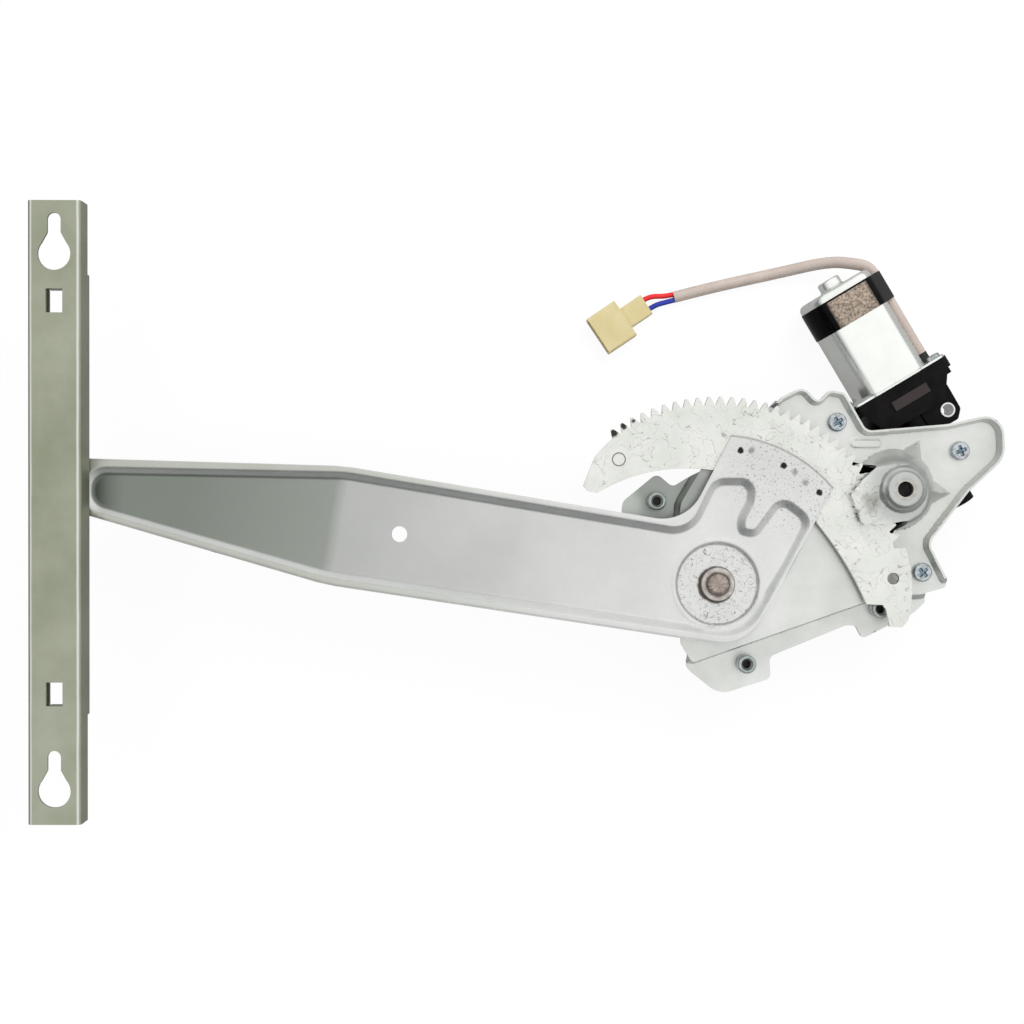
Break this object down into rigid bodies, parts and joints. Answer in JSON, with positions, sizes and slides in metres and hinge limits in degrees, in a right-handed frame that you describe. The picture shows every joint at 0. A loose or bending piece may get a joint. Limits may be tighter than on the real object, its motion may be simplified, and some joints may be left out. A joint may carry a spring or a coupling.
{
  "type": "window regulator",
  "caption": "Single-arm power window regulator: toothed sector on a pivoted lift arm, gear motor on a pressed base plate, sliding lift rail and a lead with a plug.",
  "frame": {"origin": "axis of the lower weld nut, on the door-panel plane at the back of the feet", "axes": "+X along the arm from the rail towards the motor, +Y along the rail towards the plug's side, +Z away from the door panel towards the rail"},
  "size_m": [0.5701, 0.356, 0.0695],
  "materials": {
    "zinc_plate": "zinc plated, satin",
    "zinc_nut": "zinc plated, bright",
    "zinc_arm": "zinc plated, satin",
    "zinc_sector": "zinc plated, greased",
    "zinc_rail": "zinc plated, dull",
    "pivot_steel": "bare, peened",
    "pivot_washer": "acetal",
    "gear_steel": "machined, oiled",
    "bush_steel": "turned",
    "bush_bronze": "sintered",
    "damper_rubber": "matt",
    "nylon_black": "moulded",
    "nylon_white": "moulded",
    "housing_black": "glass filled nylon, moulded",
    "can_zinc": "deep drawn, zinc plated, bright",
    "ferrite": "sintered",
    "core_steel": "laminated",
    "copper": "turned",
    "zinc_screw": "zinc plated, bright",
    "cable_sheath": "soft vinyl",
    "wire_red": "vinyl",
    "wire_blue": "vinyl",
    "grommet_rubber": "matt",
    "tape_black": "vinyl tape",
    "nylon_cream": "natural nylon",
    "terminal_brass": "pressed"
  },
  "bodies": {
    "root": {"base_plate": "zinc_plate", "door_weld_nuts": "zinc_nut", "pivot_rivet": "pivot_steel", "pivot_washer": "pivot_washer", "pivot_retainer": "zinc_nut", "pinion_bush": "bush_steel", "gear_housing": "housing_black", "ear_sleeve": "zinc_nut", "gear_cover": "housing_black", "motor_can": "can_zinc", "can_bush": "bush_bronze", "motor_magnets": "ferrite", "brush_holder": "housing_black", "motor_mount_screws": "zinc_screw", "flange_screws": "zinc_screw", "motor_cable": "cable_sheath", "wire_red": "wire_red", "wire_blue": "wire_blue", "cable_grommet": "grommet_rubber", "cable_tape": "tape_black", "connector_shell": "nylon_cream", "connector_terminals": "terminal_brass"},
    "lift_arm": {"lift_arm": "zinc_arm", "sector_gear": "zinc_sector", "arm_stud": "pivot_steel"},
    "drive": {"pinion_gear": "gear_steel", "output_shaft": "gear_steel", "drive_damper": "damper_rubber", "worm_wheel": "nylon_white"},
    "armature": {"armature_shaft": "gear_steel", "armature_core": "core_steel", "commutator": "copper"},
    "slider": {"rail_slider": "nylon_black"},
    "rail": {"lift_rail": "zinc_rail"}
  },
  "joints": [
    {"name": "lift_swing", "type": "hinge", "parent": "root", "child": "lift_arm", "pos_m": [-0.0192, 0.0483, 0.0175], "axis": [0, 0, 1], "range_deg": [-88, 8]},
    {"name": "pinion_turn", "type": "hinge", "parent": "root", "child": "drive", "pos_m": [0.08772, 0.1042, 0.0175], "axis": [0, 0, 1], "range_deg": [-69, 749]},
    {"name": "armature_turn", "type": "hinge", "parent": "root", "child": "armature", "pos_m": [0.11861, 0.12269, -0.014], "axis": [-0.5135, 0.8581, 0], "range_deg": [-58400, 5400]},
    {"name": "slider_turn", "type": "hinge", "parent": "lift_arm", "child": "slider", "pos_m": [-0.401, 0.109, 0.0285], "axis": [0, 0, 1], "continuous": true},
    {"name": "rail_slide", "type": "slide", "parent": "slider", "child": "rail", "axis": [0, 1, 0], "range_m": [-0.0898, 0.1116]}
  ],
  "couplings": [
    {"joint": "pinion_turn", "follows": "lift_swing", "ratio": -8.5},
    {"joint": "armature_turn", "follows": "lift_swing", "ratio": 663}
  ]
}
